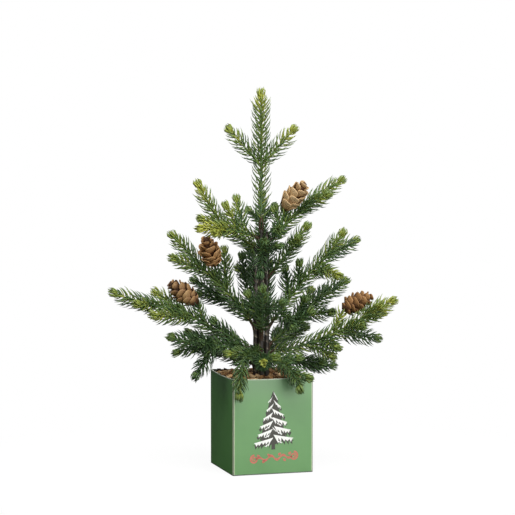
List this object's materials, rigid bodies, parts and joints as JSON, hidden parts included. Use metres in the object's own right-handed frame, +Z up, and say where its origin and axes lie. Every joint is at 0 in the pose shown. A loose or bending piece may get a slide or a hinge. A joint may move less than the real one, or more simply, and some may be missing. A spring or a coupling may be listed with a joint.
{
  "type": "artificial tabletop tree",
  "caption": "Small artificial fir with bendable wired branches and pine cones, standing in a square painted tin box filled with bark mulch.",
  "frame": {"origin": "centre of the tin box's flat underside, on the surface that it stands on", "axes": "+Z up along the trunk; the box's printed front face looks towards -Y; +X to the right of that face"},
  "size_m": [0.3361, 0.1726, 0.465],
  "materials": {
    "painted_tin": "satin",
    "plaster": "matte",
    "foam": "matte",
    "bark_mulch": "matte",
    "stem_tape": "matte",
    "needles": "satin",
    "cone_scales": "matte"
  },
  "bodies": {
    "box": {"box_wall": "painted_tin", "box_base": "painted_tin", "ballast": "plaster", "foam_block": "foam", "mulch_bed": "bark_mulch", "trunk_core": "stem_tape", "trunk_stem_left": "stem_tape", "trunk_stem_right": "stem_tape", "trunk_stem_front": "stem_tape", "trunk_stem_back": "stem_tape"},
    "leader": {"leader_wire": "stem_tape", "leader_foliage": "needles"},
    "low_left": {"low_left_wire": "stem_tape", "low_left_foliage": "needles", "low_left_cone": "cone_scales"},
    "low_left_front": {"low_left_front_wire": "stem_tape", "low_left_front_foliage": "needles"},
    "low_right": {"low_right_wire": "stem_tape", "low_right_foliage": "needles", "low_right_cone": "cone_scales"},
    "low_right_back": {"low_right_back_wire": "stem_tape", "low_right_back_foliage": "needles"},
    "low_front_right": {"low_front_right_wire": "stem_tape", "low_front_right_foliage": "needles"},
    "low_front_left": {"low_front_left_wire": "stem_tape", "low_front_left_foliage": "needles"},
    "low_front": {"low_front_wire": "stem_tape", "low_front_foliage": "needles"},
    "low_back_left": {"low_back_left_wire": "stem_tape", "low_back_left_foliage": "needles"},
    "low_back_right": {"low_back_right_wire": "stem_tape", "low_back_right_foliage": "needles"},
    "mid_left": {"mid_left_wire": "stem_tape", "mid_left_foliage": "needles", "mid_left_cone": "cone_scales"},
    "mid_left_back": {"mid_left_back_wire": "stem_tape", "mid_left_back_foliage": "needles"},
    "mid_front": {"mid_front_wire": "stem_tape", "mid_front_foliage": "needles"},
    "mid_right": {"mid_right_wire": "stem_tape", "mid_right_foliage": "needles"},
    "mid_right_low": {"mid_right_low_wire": "stem_tape", "mid_right_low_foliage": "needles"},
    "small_right": {"small_right_wire": "stem_tape", "small_right_foliage": "needles"},
    "mid_back": {"mid_back_wire": "stem_tape", "mid_back_foliage": "needles"},
    "upper_left_back": {"upper_left_back_wire": "stem_tape", "upper_left_back_foliage": "needles"},
    "upper_left_front": {"upper_left_front_wire": "stem_tape", "upper_left_front_foliage": "needles"},
    "upper_right": {"upper_right_wire": "stem_tape", "upper_right_foliage": "needles", "upper_right_cone": "cone_scales"},
    "upper_back": {"upper_back_wire": "stem_tape", "upper_back_foliage": "needles"},
    "upper_front": {"upper_front_wire": "stem_tape", "upper_front_foliage": "needles"}
  },
  "joints": [
    {"name": "leader_bend", "type": "hinge", "parent": "box", "child": "leader", "pos_m": [0, 0, 0.3], "axis": [-0.2924, -0.9563, 0], "range_deg": [-20, 14]},
    {"name": "low_left_bend", "type": "hinge", "parent": "box", "child": "low_left", "pos_m": [-0.01072, 0.00242, 0.14], "axis": [0.1564, 0.9877, 0], "range_deg": [-15, 8]},
    {"name": "low_left_front_bend", "type": "hinge", "parent": "box", "child": "low_left_front", "pos_m": [-0.01061, 0.0006, 0.149], "axis": [-0.2756, 0.9613, 0], "range_deg": [-20, 12]},
    {"name": "low_right_bend", "type": "hinge", "parent": "box", "child": "low_right", "pos_m": [0.01037, -0.00353, 0.143], "axis": [-0.4226, -0.9063, 0], "range_deg": [-20, 10]},
    {"name": "low_right_back_bend", "type": "hinge", "parent": "box", "child": "low_right_back", "pos_m": [0.01075, -0.00132, 0.134], "axis": [0.1045, -0.9945, 0], "range_deg": [-10, 20]},
    {"name": "low_front_right_bend", "type": "hinge", "parent": "box", "child": "low_front_right", "pos_m": [-0.00019, -0.01046, 0.138], "axis": [-0.9272, -0.3746, 0], "range_deg": [-8, 25]},
    {"name": "low_front_left_bend", "type": "hinge", "parent": "box", "child": "low_front_left", "pos_m": [-0.00435, -0.00988, 0.148], "axis": [-0.788, 0.6157, 0], "range_deg": [-8, 30]},
    {"name": "low_front_bend", "type": "hinge", "parent": "box", "child": "low_front", "pos_m": [-0.00285, -0.01063, 0.129], "axis": [-0.9659, 0.2588, 0], "range_deg": [-15, 18]},
    {"name": "low_back_left_bend", "type": "hinge", "parent": "box", "child": "low_back_left", "pos_m": [-0.00904, 0.00516, 0.128], "axis": [0.809, 0.5878, 0], "range_deg": [-15, 20]},
    {"name": "low_back_right_bend", "type": "hinge", "parent": "box", "child": "low_back_right", "pos_m": [0.00478, 0.00949, 0.14], "axis": [0.6947, -0.7193, 0], "range_deg": [-20, 30]},
    {"name": "mid_left_bend", "type": "hinge", "parent": "box", "child": "mid_left", "pos_m": [-0.01058, 0.00299, 0.178], "axis": [0.2924, 0.9563, 0], "range_deg": [-8, 4]},
    {"name": "mid_left_back_bend", "type": "hinge", "parent": "box", "child": "mid_left_back", "pos_m": [-0.00116, 0.00959, 0.182], "axis": [0.7193, 0.6947, 0], "range_deg": [-20, 12]},
    {"name": "mid_front_bend", "type": "hinge", "parent": "box", "child": "mid_front", "pos_m": [-0.00278, -0.01064, 0.168], "axis": [-0.9703, 0.2419, 0], "range_deg": [-30, 18]},
    {"name": "mid_right_bend", "type": "hinge", "parent": "box", "child": "mid_right", "pos_m": [0.01068, -0.00263, 0.176], "axis": [-0.2079, -0.9781, 0], "range_deg": [-7, 6]},
    {"name": "mid_right_low_bend", "type": "hinge", "parent": "box", "child": "mid_right_low", "pos_m": [0.01061, -0.0006, 0.152], "axis": [0.2756, -0.9613, 0], "range_deg": [-15, 6]},
    {"name": "small_right_bend", "type": "hinge", "parent": "box", "child": "small_right", "pos_m": [0.00988, -0.00435, 0.238], "axis": [-0.6157, -0.788, 0], "range_deg": [-30, 7]},
    {"name": "mid_back_bend", "type": "hinge", "parent": "box", "child": "mid_back", "pos_m": [0.00249, 0.0107, 0.196], "axis": [0.9848, -0.1736, 0], "range_deg": [-30, 25]},
    {"name": "upper_left_back_bend", "type": "hinge", "parent": "box", "child": "upper_left_back", "pos_m": [-0.00377, 0.00245, 0.27], "axis": [0.5446, 0.8387, 0], "range_deg": [-18, 20]},
    {"name": "upper_left_front_bend", "type": "hinge", "parent": "box", "child": "upper_left_front", "pos_m": [-0.00443, -0.00078, 0.283], "axis": [-0.1736, 0.9848, 0], "range_deg": [-9, 12]},
    {"name": "upper_right_bend", "type": "hinge", "parent": "box", "child": "upper_right", "pos_m": [0.01073, -0.00234, 0.279], "axis": [-0.1392, -0.9903, 0], "range_deg": [-15, 15]},
    {"name": "upper_back_bend", "type": "hinge", "parent": "box", "child": "upper_back", "pos_m": [0.00306, 0.01056, 0.276], "axis": [0.9511, -0.309, 0], "range_deg": [-30, 24]},
    {"name": "upper_front_bend", "type": "hinge", "parent": "box", "child": "upper_front", "pos_m": [-0.00078, -0.00443, 0.266], "axis": [-0.9848, 0.1736, 0], "range_deg": [-20, 12]}
  ]
}
